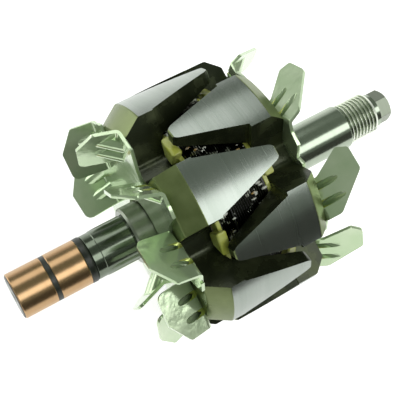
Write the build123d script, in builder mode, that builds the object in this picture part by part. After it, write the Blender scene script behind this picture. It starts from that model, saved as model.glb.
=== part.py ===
from build123d import *
from math import cos, radians, sin, sqrt, tan
import os

# Claw-pole rotor of a small generator, in millimetres.
# The shaft lies along X with the drive end at +X, and +Z is up.
# The origin is on the shaft axis at the shoulder that the drive-end bearing seats against.

# Lengths along the shaft, from the drive-end bearing shoulder back to the slip rings
spacer_length = 8.0
fan_sheet = 1.2
pole_disc = 12.0
core_length = 23.8
shoulder_length = 7.1
rear_seat_length = 12.5
relief_length = 3.4
collar_length = 2.6
inner_ring_length = 11.4
band_length = 1.6
outer_ring_length = 11.0
rim_length = 1.7

# Lengths along the shaft, from the same shoulder forward to the hexagon
journal_length = 25.05
thread_lead_in = 0.85
thread_length = 12.4
thread_runout = 0.9
neck_length = 1.7
hexagon_length = 5.5

# Radii of the shaft and of what sits on it
seat_radius = 8.5
relief_radius = 8.3
spacer_seat_radius = 9.0
core_seat_radius = 10.0
shoulder_radius = 10.7
thread_radius = 8.0
neck_radius = 6.6
hexagon_flats = 11.0
stub_radius = 5.2
ring_bore_radius = 7.0
ring_radius = 8.4
moulding_radius = 8.3
collar_radius = 8.45
core_radius = 21.0

# Breaks at the steps of the shaft and of what sits on it
seat_lead_in = 0.3
shoulder_lead_in = 0.5
hexagon_chamfer = 0.7
hexagon_turn = 4.5
ring_chamfer = 0.25
rim_chamfer = 0.4
collar_chamfer = 0.8
spacer_chamfer = 0.4

# Drilled centres in both ends of the shaft
centre_mouth_radius = 1.9
centre_cone_length = 2.0
centre_drill_radius = 0.8
centre_drill_end = 4.5
centre_depth = 5.0

# Claw poles
claw_count = 6
claw_radius = 43.8
claw_root_radius = 34.3
claw_tip_thickness = 4.3
claw_reach = 31.4
claw_parallel = 4.0
claw_base_half_angle = 14.2
claw_tip_half_angle = 3.1
claw_tip_rounding = 1.8
valley_radius = 28.0
valley_fillet = 2.5
rear_face_radius = 39.0
rear_chamfer_length = 7.0
front_face_radius = 39.8
front_chamfer_length = 4.9
rear_claw_angle = 49.56
front_claw_angle = 21.35

# Coil, its former and its insulation
insulator_thickness = 0.5
flange_thickness = 1.5
former_wall = 1.5
flange_radius = 33.0
lobe_radius = 37.0
lobe_length = 4.5
lobe_clearance = 0.9
coil_radius = 33.2
coil_rounding = 0.8
tape_thickness = 0.5
tape_width = 10.0

# Front fan: a sheet with blades bent up from its edge
front_blade_count = 7
front_fan_bore = 13.0
front_blade_angle = 110.6
front_bend_angle = 50.0
front_bend_distance = 30.9
front_blade_from = 12.6
front_blade_to = 27.2
front_blade_height = 17.5
front_gusset_places = (15.6, 21.6)
front_wing_foot = 3.2
front_wing_place = 6.8
front_wing_height = 13.2
front_tip_place = 8.6
front_tip_height = 17.2
front_crest_place = 16.8
front_tail_height = 5.2
front_blade_rounding = (3.0, 1.4, 1.6, 2.0, 3.0)
front_rim = ((38.6, 45.6), (37.8, 52.5), (32.6, 58.5), (34.8, 62.5))

# Rear fan
rear_blade_count = 9
rear_fan_bore = 12.0
rear_blade_angle = 82.7
rear_bend_angle = 72.6
rear_bend_distance = 21.0
rear_blade_from = 17.4
rear_blade_to = 36.6
rear_blade_height = 14.8
rear_gusset_places = (23.6, 30.4)
rear_near_height = 14.2
rear_crest_place = 28.4
rear_tail_height = 9.2
rear_blade_rounding = (2.6, 1.0, 1.4)
rear_rim = ((40.6, 66.5), (39.4, 72.5), (31.0, 75.5))

# Pressed bends and gussets of both fans
bend_radius = 1.0
gusset_radius = 1.25
gusset_foot = 3.4
gusset_rise = 5.6
gusset_wall = 0.96
gusset_block_width = 10.0
gusset_block_depth = 12.0
blade_foot = 2.5
blade_skirt = 6.0
blade_cut_depth = 9.0
chord_inset = 2.0

# Coil leads, their sleeves and the groove that carries them
wire_radius = 0.5
sleeve_wall = 0.35
lead_spacing = 1.8
lead_angle = 319.56
lead_radius = 6.3
groove_half_width = 2.0
groove_margin = 0.05
lead_bend = 1.3

# Stations along X that follow from the lengths
front_fan_x = -spacer_length
front_face_x = front_fan_x - fan_sheet
front_inner_x = front_face_x - pole_disc
rear_inner_x = front_inner_x - core_length
rear_face_x = rear_inner_x - pole_disc
rear_fan_x = rear_face_x - fan_sheet
seat_x = rear_fan_x - shoulder_length
relief_x = seat_x - rear_seat_length
stub_x = relief_x - relief_length
inner_ring_x = stub_x - collar_length
band_x = inner_ring_x - inner_ring_length
outer_ring_x = band_x - band_length
rim_x = outer_ring_x - outer_ring_length
end_x = rim_x - rim_length
thread_x = journal_length + thread_lead_in
neck_x = thread_x + thread_length
hexagon_x = neck_x + neck_length
tip_x = hexagon_x + hexagon_length

# Sizes that follow from the radii and angles
claw_base_half_width = claw_radius * sin(radians(claw_base_half_angle))
claw_tip_half_width = claw_radius * sin(radians(claw_tip_half_angle))
sleeve_radius = wire_radius + sleeve_wall
valley_lead_radius = valley_radius + sleeve_radius + groove_margin
coil_bore_radius = core_radius + former_wall
lead_turn_x = rear_face_x + sleeve_radius + groove_margin
slot_depth = 2 * sleeve_radius + 4 * groove_margin
groove_floor = lead_radius - sleeve_radius - groove_margin

os.makedirs("parts", exist_ok=True)


def radial_plane(angle):
    # local x runs along the shaft and local z points away from it
    return Plane(
        origin=(0, 0, 0), x_dir=(1, 0, 0), z_dir=(0, cos(radians(angle)), sin(radians(angle)))
    )


def profile_plane(angle):
    # local x runs along the shaft and local y points away from it
    return Plane(
        origin=(0, 0, 0), x_dir=(1, 0, 0), z_dir=(0, -sin(radians(angle)), cos(radians(angle)))
    )


# Shaft: one turned bar with a lead groove, a rolled thread's blank and a hexagon
with BuildPart() as shaft:
    with BuildSketch(Plane.XY):
        with BuildLine():
            Polyline(
                (end_x, 0),
                (end_x, stub_radius),
                (stub_x, stub_radius),
                (stub_x, relief_radius),
                (relief_x, relief_radius),
                (relief_x + seat_lead_in, seat_radius),
                (seat_x, seat_radius),
                (seat_x + shoulder_lead_in, shoulder_radius),
                (rear_fan_x, shoulder_radius),
                (rear_fan_x, core_seat_radius),
                (front_fan_x, core_seat_radius),
                (front_fan_x, spacer_seat_radius),
                (0, spacer_seat_radius),
                (0, seat_radius),
                (journal_length, seat_radius),
                (thread_x, thread_radius),
                (neck_x - thread_runout, thread_radius),
                (neck_x, neck_radius),
                (hexagon_x, neck_radius),
                (hexagon_x, 0),
                close=True,
            )
        make_face()
    revolve(axis=Axis.X)
    with BuildSketch(Plane.YZ.offset(hexagon_x)):
        RegularPolygon(hexagon_flats / 2, 6, major_radius=False, rotation=hexagon_turn)
    extrude(amount=hexagon_length)
    chamfer(shaft.faces().sort_by(Axis.X)[-1].edges(), hexagon_chamfer)
    with BuildSketch(profile_plane(lead_angle).offset(-groove_half_width)):
        with BuildLine():
            Polyline(
                (stub_x, groove_floor),
                (rear_face_x + slot_depth, groove_floor),
                (rear_face_x + slot_depth, shoulder_radius + 1),
                (stub_x, shoulder_radius + 1),
                close=True,
            )
        make_face()
    extrude(amount=2 * groove_half_width, mode=Mode.SUBTRACT)
    for centre_x, into in ((tip_x, -1), (end_x, 1)):
        with BuildSketch(Plane.XY):
            with BuildLine():
                Polyline(
                    (centre_x, 0),
                    (centre_x, centre_mouth_radius),
                    (centre_x + into * centre_cone_length, centre_drill_radius),
                    (centre_x + into * centre_drill_end, centre_drill_radius),
                    (centre_x + into * centre_depth, 0),
                    close=True,
                )
            make_face()
        revolve(axis=Axis.X, mode=Mode.SUBTRACT)
shaft.part.label = "shaft"


def claw_pole(face_x, toward, face_radius, chamfer_length, claw_angle):
    # a forged pole: a disc with six arms that bend over into tapering claws
    edge_x = face_x + toward * chamfer_length
    inner_x = face_x + toward * pole_disc
    claw_end_x = edge_x + toward * claw_reach
    with BuildPart() as pole:
        with BuildSketch(Plane.YZ.offset(face_x)):
            Circle(valley_radius)
            for k in range(claw_count):
                with Locations(Rotation(0, 0, claw_angle + k * 360 / claw_count)):
                    with Locations((claw_radius / 2, 0)):
                        Rectangle(claw_radius, 2 * claw_base_half_width)
            corners = vertices().sort_by(lambda v: (v.Y**2 + v.Z**2))[: 2 * claw_count]
            fillet(corners, valley_fillet)
        extrude(amount=toward * pole_disc)
        planes = [radial_plane(claw_angle + k * 360 / claw_count) for k in range(claw_count)]
        with BuildSketch(*[p.offset(valley_radius + valley_fillet + 1) for p in planes]):
            with BuildLine():
                Polyline(
                    (face_x, -claw_base_half_width),
                    (edge_x + toward * claw_parallel, -claw_base_half_width),
                    (claw_end_x, -claw_tip_half_width),
                    (claw_end_x, claw_tip_half_width),
                    (edge_x + toward * claw_parallel, claw_base_half_width),
                    (face_x, claw_base_half_width),
                    close=True,
                )
            make_face()
            fillet(vertices().filter_by(lambda v: abs(v.X - claw_end_x) < 0.01), claw_tip_rounding)
        extrude(amount=claw_radius)
        with BuildSketch(Plane.XY):
            with BuildLine():
                Polyline(
                    (face_x, core_seat_radius),
                    (face_x, face_radius),
                    (edge_x, claw_radius),
                    (claw_end_x, claw_radius),
                    (claw_end_x, claw_radius - claw_tip_thickness),
                    (inner_x, claw_root_radius),
                    (inner_x, core_seat_radius),
                    close=True,
                )
            make_face()
        revolve(axis=Axis.X, mode=Mode.INTERSECT)
    return pole


rear_claw_pole = claw_pole(
    rear_face_x, 1, rear_face_radius, rear_chamfer_length, rear_claw_angle
)
with BuildPart() as rear_claw_pole_slotted:
    add(rear_claw_pole.part)
    with BuildSketch(profile_plane(lead_angle).offset(-groove_half_width)):
        with BuildLine():
            Polyline(
                (rear_face_x, core_seat_radius - 1),
                (rear_face_x + slot_depth, core_seat_radius - 1),
                (rear_face_x + slot_depth, valley_radius + 1),
                (rear_face_x, valley_radius + 1),
                close=True,
            )
        make_face()
    extrude(amount=2 * groove_half_width, mode=Mode.SUBTRACT)
rear_claw_pole_slotted.part.label = "rear_claw_pole"

front_claw_pole = claw_pole(
    front_face_x, -1, front_face_radius, front_chamfer_length, front_claw_angle
)
front_claw_pole.part.label = "front_claw_pole"

# Core: the plain hub between the two poles
with BuildPart() as pole_core:
    with BuildSketch(Plane.YZ.offset(rear_inner_x)):
        Circle(core_radius)
        Circle(core_seat_radius, mode=Mode.SUBTRACT)
    extrude(amount=core_length)
pole_core.part.label = "pole_core"


# Coil former: a hub with two flanges, each with six lobes that stand up in the valleys
former_rear_x = rear_inner_x + insulator_thickness
former_front_x = front_inner_x - insulator_thickness
lobe_low = valley_radius + lobe_clearance
lobe_flank = claw_base_half_width + lobe_clearance
half_pitch = radians(180 / claw_count)
lobe_low_half = max(1.0, (lobe_low * sin(half_pitch) - lobe_flank) / cos(half_pitch))
lobe_high_half = (lobe_radius * sin(half_pitch) - lobe_flank) / cos(half_pitch)
with BuildPart() as bobbin:
    with BuildSketch(Plane.YZ.offset(former_rear_x)):
        Circle(coil_bore_radius)
        Circle(core_radius, mode=Mode.SUBTRACT)
    extrude(amount=former_front_x - former_rear_x)
    for start_x, inward, claw_angle in (
        (former_rear_x, 1, rear_claw_angle),
        (former_front_x, -1, front_claw_angle),
    ):
        with BuildSketch(Plane.YZ.offset(start_x)):
            Circle(flange_radius)
            Circle(core_radius, mode=Mode.SUBTRACT)
        extrude(amount=inward * flange_thickness)
        with BuildSketch(Plane.YZ.offset(start_x + inward * flange_thickness)):
            for k in range(claw_count):
                with Locations(Rotation(0, 0, claw_angle + (k + 0.5) * 360 / claw_count)):
                    Polygon(
                        (lobe_low, -lobe_low_half),
                        (lobe_radius, -lobe_high_half),
                        (lobe_radius, lobe_high_half),
                        (lobe_low, lobe_low_half),
                        align=None,
                    )
        extrude(amount=-inward * (flange_thickness + lobe_length))
bobbin.part.label = "bobbin"

# Coil: one wound ring, shown as its outer shape
coil_rear_x = former_rear_x + flange_thickness
coil_front_x = former_front_x - flange_thickness
with BuildPart() as field_winding:
    with BuildSketch(Plane.YZ.offset(coil_rear_x)):
        Circle(coil_radius)
        Circle(coil_bore_radius, mode=Mode.SUBTRACT)
    extrude(amount=coil_front_x - coil_rear_x)
    fillet(field_winding.edges().filter_by(GeomType.CIRCLE).group_by(SortBy.RADIUS)[-1], coil_rounding)
field_winding.part.label = "field_winding"

# Tape: a narrow band round the middle of the coil
with BuildPart() as coil_tape:
    with BuildSketch(Plane.YZ.offset((coil_rear_x + coil_front_x - tape_width) / 2)):
        Circle(coil_radius + tape_thickness)
        Circle(coil_radius, mode=Mode.SUBTRACT)
    extrude(amount=tape_width)
coil_tape.part.label = "coil_tape"

# Insulating discs between the former and the poles
with BuildPart() as rear_insulator:
    with BuildSketch(Plane.YZ.offset(rear_inner_x)):
        Circle(valley_radius)
        Circle(core_radius, mode=Mode.SUBTRACT)
    extrude(amount=insulator_thickness)
rear_insulator.part.label = "rear_insulator"

with BuildPart() as front_insulator:
    with BuildSketch(Plane.YZ.offset(front_inner_x)):
        Circle(valley_radius)
        Circle(core_radius, mode=Mode.SUBTRACT)
    extrude(amount=-insulator_thickness)
front_insulator.part.label = "front_insulator"


def fan_blade(face_x, toward, angle, bend_angle, distance, height, places, outline, radii):
    # one blade with its bend and gussets, cut to its outline in the blade's own plane
    rise = (toward * sin(radians(bend_angle)), cos(radians(bend_angle)))
    back = (toward * cos(radians(bend_angle)), -sin(radians(bend_angle)))
    knee = (face_x, distance)
    inner_knee = (face_x + toward * fan_sheet, distance - fan_sheet * tan(radians(bend_angle / 2)))
    crest = (knee[0] + rise[0] * height, knee[1] + rise[1] * height)
    inner_crest = (crest[0] + back[0] * fan_sheet, crest[1] + back[1] * fan_sheet)
    foot = distance - gusset_foot - blade_foot
    low = min(p[0] for p in outline) - 1
    high = max(p[0] for p in outline) + 1
    with BuildPart(mode=Mode.PRIVATE) as blade:
        with BuildSketch(profile_plane(angle).offset(low)):
            with BuildLine():
                outer = FilletPolyline(
                    (face_x, foot), knee, crest, radius=bend_radius + fan_sheet
                )
                inner = FilletPolyline(
                    (face_x + toward * fan_sheet, foot), inner_knee, inner_crest, radius=bend_radius
                )
                Line(outer @ 0, inner @ 0)
                Line(outer @ 1, inner @ 1)
            make_face()
        extrude(amount=high - low)
        hollow_start = (knee[0], knee[1] - gusset_foot)
        hollow_end = (knee[0] + rise[0] * gusset_rise, knee[1] + rise[1] * gusset_rise)
        run = (hollow_end[0] - hollow_start[0], hollow_end[1] - hollow_start[1])
        deep = gusset_block_depth
        for place in places:
            with BuildPart(mode=Mode.PRIVATE) as ridge:
                with BuildSketch(profile_plane(angle).offset(place - gusset_block_width / 2)):
                    with BuildLine():
                        Polyline(
                            (face_x, foot),
                            knee,
                            crest,
                            (crest[0] + deep * back[0], crest[1] + deep * back[1]),
                            (face_x + toward * deep, foot),
                            close=True,
                        )
                    make_face()
                extrude(amount=gusset_block_width)
                origin = profile_plane(angle).offset(place).from_local_coords(
                    (hollow_start[0] - run[0], hollow_start[1] - run[1], 0)
                )
                along = profile_plane(angle).from_local_coords((run[0], run[1], 0))
                axis_plane = Plane(origin=origin, z_dir=along)
                with BuildSketch(axis_plane):
                    Circle(gusset_radius + gusset_wall)
                extrude(amount=3 * sqrt(run[0] ** 2 + run[1] ** 2), mode=Mode.INTERSECT)
            add(ridge.part)
            with BuildSketch(axis_plane):
                Circle(gusset_radius)
            extrude(amount=3 * sqrt(run[0] ** 2 + run[1] ** 2), mode=Mode.SUBTRACT)
        base = profile_plane(angle).from_local_coords((knee[0], knee[1], 0))
        across = profile_plane(angle).z_dir
        up = profile_plane(angle).from_local_coords((rise[0], rise[1], 0))
        blade_plane = Plane(origin=base, x_dir=across, z_dir=across.cross(up))
        with BuildSketch(blade_plane):
            with BuildLine():
                edge = FilletPolyline(*outline, radius=radii)
                Line(edge @ 1, edge @ 0)
            make_face()
        extrude(amount=blade_cut_depth, both=True, mode=Mode.INTERSECT)
    return blade


def fan_disc_points(count, angle, chord, start, stop, rim):
    # corners of the flat sheet: a chord under each blade, then the free rim to the next one
    points = []
    for k in range(count):
        turn = angle + k * 360 / count
        for u in (start, stop):
            c, s = cos(radians(turn)), sin(radians(turn))
            points.append((chord * c - u * s, chord * s + u * c))
        for r, a in rim:
            points.append((r * cos(radians(turn + a)), r * sin(radians(turn + a))))
    return points


# Front fan: the corners of a blade are (place along the bend, height above it)
front_outline = (
    (front_blade_from, -blade_skirt),
    (front_blade_from, front_wing_foot),
    (front_wing_place, front_wing_height),
    (front_tip_place, front_tip_height),
    (front_crest_place, front_blade_height),
    (front_blade_to, front_tail_height),
    (front_blade_to, -blade_skirt),
)
front_blade = fan_blade(
    front_face_x,
    1,
    front_blade_angle,
    front_bend_angle,
    front_bend_distance,
    front_blade_height + 1,
    front_gusset_places,
    front_outline,
    front_blade_rounding,
)
with BuildPart() as front_fan:
    with BuildSketch(Plane.YZ.offset(front_face_x)):
        Polygon(
            *fan_disc_points(
                front_blade_count,
                front_blade_angle,
                front_bend_distance - gusset_foot - chord_inset,
                front_blade_from,
                front_blade_to,
                front_rim,
            ),
            align=None,
        )
        Circle(front_fan_bore, mode=Mode.SUBTRACT)
    extrude(amount=fan_sheet)
    for k in range(front_blade_count):
        add(front_blade.part.rotate(Axis.X, k * 360 / front_blade_count))
front_fan.part.label = "front_fan"

# Rear fan
rear_outline = (
    (rear_blade_from, -blade_skirt),
    (rear_blade_from, rear_near_height),
    (rear_crest_place, rear_blade_height),
    (rear_blade_to, rear_tail_height),
    (rear_blade_to, -blade_skirt),
)
rear_blade = fan_blade(
    rear_face_x,
    -1,
    rear_blade_angle,
    rear_bend_angle,
    rear_bend_distance,
    rear_blade_height + 1,
    rear_gusset_places,
    rear_outline,
    rear_blade_rounding,
)
with BuildPart() as rear_fan:
    with BuildSketch(Plane.YZ.offset(rear_face_x)):
        Polygon(
            *fan_disc_points(
                rear_blade_count,
                rear_blade_angle,
                rear_bend_distance - gusset_foot - chord_inset,
                rear_blade_from,
                rear_blade_to,
                rear_rim,
            ),
            align=None,
        )
        Circle(rear_fan_bore, mode=Mode.SUBTRACT)
    extrude(amount=-fan_sheet)
    for k in range(rear_blade_count):
        add(rear_blade.part.rotate(Axis.X, k * 360 / rear_blade_count))
rear_fan.part.label = "rear_fan"

# Slip-ring moulding: a sleeve on the shaft's stub with a rim, a band and a collar
with BuildPart() as slip_ring_moulding:
    with BuildSketch(Plane.XY):
        with BuildLine():
            Polyline(
                (end_x, stub_radius),
                (end_x, moulding_radius - rim_chamfer),
                (end_x + rim_chamfer, moulding_radius),
                (rim_x, moulding_radius),
                (rim_x, ring_bore_radius),
                (outer_ring_x, ring_bore_radius),
                (outer_ring_x, moulding_radius),
                (band_x, moulding_radius),
                (band_x, ring_bore_radius),
                (inner_ring_x, ring_bore_radius),
                (inner_ring_x, collar_radius),
                (stub_x - collar_chamfer, collar_radius),
                (stub_x, collar_radius - collar_chamfer),
                (stub_x, stub_radius),
                close=True,
            )
        make_face()
    revolve(axis=Axis.X)
    with BuildSketch(profile_plane(lead_angle).offset(-groove_half_width)):
        with BuildLine():
            Polyline(
                ((rim_x + outer_ring_x) / 2 - 1, stub_radius - 1),
                (stub_x, stub_radius - 1),
                (stub_x, lead_radius + sleeve_radius),
                ((rim_x + outer_ring_x) / 2 - 1, lead_radius + sleeve_radius),
                close=True,
            )
        make_face()
    extrude(amount=2 * groove_half_width, mode=Mode.SUBTRACT)
slip_ring_moulding.part.label = "slip_ring_moulding"

# Slip rings
with BuildPart() as outer_slip_ring:
    with BuildSketch(Plane.YZ.offset(rim_x)):
        Circle(ring_radius)
        Circle(ring_bore_radius, mode=Mode.SUBTRACT)
    extrude(amount=outer_ring_length)
    rims = outer_slip_ring.edges().filter_by(GeomType.CIRCLE).group_by(SortBy.RADIUS)[-1]
    chamfer(rims, ring_chamfer)
outer_slip_ring.part.label = "outer_slip_ring"

with BuildPart() as inner_slip_ring:
    with BuildSketch(Plane.YZ.offset(band_x)):
        Circle(ring_radius)
        Circle(ring_bore_radius, mode=Mode.SUBTRACT)
    extrude(amount=inner_ring_length)
    rims = inner_slip_ring.edges().filter_by(GeomType.CIRCLE).group_by(SortBy.RADIUS)[-1]
    chamfer(rims, ring_chamfer)
inner_slip_ring.part.label = "inner_slip_ring"

# Spacer ring between the shaft's front step and the drive-end bearing
with BuildPart() as spacer_ring:
    with BuildSketch(Plane.YZ.offset(front_fan_x)):
        Circle(shoulder_radius)
        Circle(spacer_seat_radius, mode=Mode.SUBTRACT)
    extrude(amount=spacer_length)
    rims = spacer_ring.edges().filter_by(GeomType.CIRCLE).group_by(SortBy.RADIUS)[-1]
    chamfer(rims, spacer_chamfer)
spacer_ring.part.label = "spacer_ring"


def lead_path(side, from_x):
    # along the shaft's groove, out across the pole's face and down the valley to the former
    plane = profile_plane(lead_angle).offset(side * lead_spacing / 2)
    with BuildLine(plane, mode=Mode.PRIVATE) as path:
        FilletPolyline(
            (from_x, lead_radius),
            (lead_turn_x, lead_radius),
            (lead_turn_x, valley_lead_radius),
            (former_rear_x - lobe_length, valley_lead_radius),
            radius=lead_bend,
        )
    return path


def lead_wire(side, contact_x):
    # a bare wire with a short upright end that meets its ring
    path = lead_path(side, contact_x)
    with BuildPart(mode=Mode.PRIVATE) as wire:
        with BuildSketch(Plane(origin=path.line @ 0, z_dir=path.line % 0)):
            Circle(wire_radius)
        sweep(path=path.line)
        with BuildSketch(radial_plane(lead_angle).offset(lead_radius)):
            with Locations((contact_x, -side * lead_spacing / 2)):
                Circle(wire_radius)
        reach = sqrt(ring_bore_radius**2 - (lead_spacing / 2 + wire_radius) ** 2)
        extrude(amount=reach - lead_radius)
    return wire


def lead_sleeve(side):
    # an insulating tube over the wire from the groove's end to the former
    path = lead_path(side, stub_x + 0.3)
    with BuildPart(mode=Mode.PRIVATE) as sleeve:
        with BuildSketch(Plane(origin=path.line @ 0, z_dir=path.line % 0)):
            Circle(sleeve_radius)
            Circle(wire_radius, mode=Mode.SUBTRACT)
        sweep(path=path.line)
    return sleeve


lead_outer = lead_wire(-1, (rim_x + outer_ring_x) / 2)
lead_outer.part.label = "lead_outer"
lead_inner = lead_wire(1, (band_x + inner_ring_x) / 2)
lead_inner.part.label = "lead_inner"
sleeve_outer = lead_sleeve(-1)
sleeve_outer.part.label = "sleeve_outer"
sleeve_inner = lead_sleeve(1)
sleeve_inner.part.label = "sleeve_inner"

# Strip that closes the groove over the leads, a little below the turned surfaces
strip_low = lead_radius + sleeve_radius + groove_margin
strip_top = sqrt(relief_radius**2 - groove_half_width**2)
strip_shoulder_top = sqrt(shoulder_radius**2 - groove_half_width**2) - 0.3
with BuildPart() as lead_cover:
    with BuildSketch(profile_plane(lead_angle).offset(-groove_half_width)):
        with BuildLine():
            Polyline(
                (stub_x, strip_low),
                (rear_fan_x, strip_low),
                (rear_fan_x, strip_shoulder_top),
                (seat_x + shoulder_lead_in, strip_shoulder_top),
                (seat_x + shoulder_lead_in, strip_top),
                (stub_x, strip_top),
                close=True,
            )
        make_face()
    extrude(amount=2 * groove_half_width)
lead_cover.part.label = "lead_cover"

export_step(shaft.part, "parts/shaft.step")
export_step(front_claw_pole.part, "parts/front_claw_pole.step")
export_step(rear_claw_pole_slotted.part, "parts/rear_claw_pole.step")
export_step(pole_core.part, "parts/pole_core.step")
export_step(bobbin.part, "parts/bobbin.step")
export_step(field_winding.part, "parts/field_winding.step")
export_step(coil_tape.part, "parts/coil_tape.step")
export_step(rear_insulator.part, "parts/rear_insulator.step")
export_step(front_insulator.part, "parts/front_insulator.step")
export_step(front_fan.part, "parts/front_fan.step")
export_step(rear_fan.part, "parts/rear_fan.step")
export_step(slip_ring_moulding.part, "parts/slip_ring_moulding.step")
export_step(outer_slip_ring.part, "parts/outer_slip_ring.step")
export_step(inner_slip_ring.part, "parts/inner_slip_ring.step")
export_step(spacer_ring.part, "parts/spacer_ring.step")
export_step(lead_outer.part, "parts/lead_outer.step")
export_step(lead_inner.part, "parts/lead_inner.step")
export_step(sleeve_outer.part, "parts/sleeve_outer.step")
export_step(sleeve_inner.part, "parts/sleeve_inner.step")
export_step(lead_cover.part, "parts/lead_cover.step")
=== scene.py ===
# %% [markdown]
# # A claw-pole rotor
# The rotor is the part that spins inside a small generator. Its CAD model is loaded first,
# as a frame that nothing moves. Every piece below is then made at the place the CAD gives it,
# in metres, with the shaft along X and the floor under the claws. A maker thinks of such a
# part in millimetres, so the sizes below are in millimetres too, and MM turns them to metres.

# %% Load the frame
from math import asin, atan2, cos, degrees, pi, radians, sin

import bmesh
import bpy
from mathutils import Matrix, Vector


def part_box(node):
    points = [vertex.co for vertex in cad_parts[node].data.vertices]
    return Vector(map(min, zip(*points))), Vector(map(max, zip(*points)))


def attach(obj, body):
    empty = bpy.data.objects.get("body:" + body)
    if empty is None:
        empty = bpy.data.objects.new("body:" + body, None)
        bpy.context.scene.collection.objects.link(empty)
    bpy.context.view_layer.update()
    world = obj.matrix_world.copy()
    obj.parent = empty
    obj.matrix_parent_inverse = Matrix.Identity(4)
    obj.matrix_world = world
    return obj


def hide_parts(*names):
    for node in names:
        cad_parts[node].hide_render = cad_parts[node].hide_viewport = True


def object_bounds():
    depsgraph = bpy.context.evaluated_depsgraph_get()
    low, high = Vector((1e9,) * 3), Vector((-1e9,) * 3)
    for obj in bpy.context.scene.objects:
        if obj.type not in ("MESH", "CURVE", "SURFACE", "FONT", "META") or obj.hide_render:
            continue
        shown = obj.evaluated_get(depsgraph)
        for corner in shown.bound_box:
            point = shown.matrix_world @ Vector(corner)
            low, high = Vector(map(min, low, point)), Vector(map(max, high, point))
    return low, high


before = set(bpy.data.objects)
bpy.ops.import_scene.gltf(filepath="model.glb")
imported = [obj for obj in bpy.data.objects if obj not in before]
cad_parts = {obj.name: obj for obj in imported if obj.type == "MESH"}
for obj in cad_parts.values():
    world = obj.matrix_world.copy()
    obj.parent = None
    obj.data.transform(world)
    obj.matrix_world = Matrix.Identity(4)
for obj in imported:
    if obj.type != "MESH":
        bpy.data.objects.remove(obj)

MM = 0.001
cad_box = [list(corner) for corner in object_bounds()]
print("CAD box", cad_box)

# %% [markdown]
# ## The camera
# The photograph looks at the rotor from well above, with the slip-ring end nearer. The lens
# was worked out from how fast the shaft narrows with distance. The three directions of the
# camera are written out, because the picture is also turned a little about its own axis.


# %% Camera
def add_object(name, data):
    thing = bpy.data.objects.new(name, data)
    bpy.context.scene.collection.objects.link(thing)
    return thing


def facing(right, up, back, place):
    # the matrix of a camera or lamp that looks along minus back
    return Matrix(
        (
            (right.x, up.x, back.x, place.x),
            (right.y, up.y, back.y, place.y),
            (right.z, up.z, back.z, place.z),
            (0, 0, 0, 1),
        )
    )


axis_tilt = radians(15.96)
picture_turn = radians(27.67)
roll_on_floor = radians(113.0)
toward_viewer = Vector((0, cos(roll_on_floor), sin(roll_on_floor)))
down_picture = Vector((0, -sin(roll_on_floor), cos(roll_on_floor)))
along_shaft = Vector((1, 0, 0))
level = along_shaft * cos(axis_tilt) + toward_viewer * sin(axis_tilt)
depth = along_shaft * sin(axis_tilt) - toward_viewer * cos(axis_tilt)
right = level * cos(picture_turn) + down_picture * sin(picture_turn)
up = level * sin(picture_turn) - down_picture * cos(picture_turn)
seen_point = Vector((-36 * MM, 0, 0))
viewing_distance = 330 * MM
aim = (level * 0.24 - down_picture * 0.04) * MM
camera_place = seen_point - (aim + depth * viewing_distance)
camera = add_object("camera", bpy.data.cameras.new("camera"))
camera.matrix_world = facing(right, up, -depth, camera_place)
camera.data.lens = 83.0
camera.data.sensor_width = 36.0
camera.data.clip_start = 0.01
bpy.context.scene.camera = camera
bpy.context.scene.view_settings.view_transform = "Standard"
print("camera at", [round(v, 3) for v in camera_place])

# %% [markdown]
# ## Soft boxes and a grey card
# Bright metal only looks like metal when it has something to reflect. The photograph has a
# long soft box near the viewer and a weaker one above, with darkness round them. They are
# area lamps here, turned round the shaft so that each puts its streak where the photograph
# has it. A third box stands past the slip-ring end, for the fan's faces there. A grey card,
# which the camera can't see, stands beside the rotor, or its lower flank would mirror only
# white floor.


# %% Lights and card
def soft_box(name, direction, distance, length, width, brightness):
    # sizes in metres; the brightness is per area, so a longer box isn't a dimmer one
    lamp = bpy.data.lights.new(name, "AREA")
    lamp.shape = "RECTANGLE"
    lamp.size = length
    lamp.size_y = width
    lamp.energy = brightness * pi * length * width
    box = add_object(name, lamp)
    back = direction.normalized()
    side = (along_shaft - back * along_shaft.dot(back)).normalized()
    other = back.cross(side)
    place = seen_point + back * distance
    box.matrix_world = facing(side, other, back, place)


def round_shaft(angle):
    # a direction square to the shaft, turned from the viewer's side down the picture
    return toward_viewer * cos(radians(angle)) + down_picture * sin(radians(angle))


def flat_board(name, corners):
    # one flat face with a material of its own
    mesh = bpy.data.meshes.new(name)
    mesh.from_pydata(corners, [], [(0, 1, 2, 3)])
    board = add_object(name, mesh)
    look = bpy.data.materials.new(name)
    look.use_nodes = True
    mesh.materials.append(look)
    return board, look.node_tree


soft_box(
    "near_box", round_shaft(14) * 0.96 + along_shaft * 0.28,
    distance=0.8, length=0.9, width=0.40, brightness=2.4,
)
soft_box(
    "upper_box", round_shaft(-57) * 0.99 + along_shaft * 0.06,
    distance=0.8, length=0.55, width=0.40, brightness=1.5,
)
soft_box(
    "end_box", round_shaft(-98) * 0.8 - along_shaft * 0.6,
    distance=0.8, length=0.5, width=0.5, brightness=2.0,
)

# the grey card
card_y, card_half, card_low, card_high = -0.135, 0.25, -0.043, 0.055
card, tree = flat_board(
    "grey_card",
    [
        (-card_half, card_y, card_low), (card_half, card_y, card_low),
        (card_half, card_y, card_high), (-card_half, card_y, card_high),
    ],
)
card.visible_camera = False
card.visible_shadow = False
card_shader = tree.nodes["Principled BSDF"]
card_shader.inputs["Base Color"].default_value = (0.12, 0.12, 0.11, 1)
card_shader.inputs["Roughness"].default_value = 0.9
print("lamps", len(bpy.data.lights))

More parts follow.
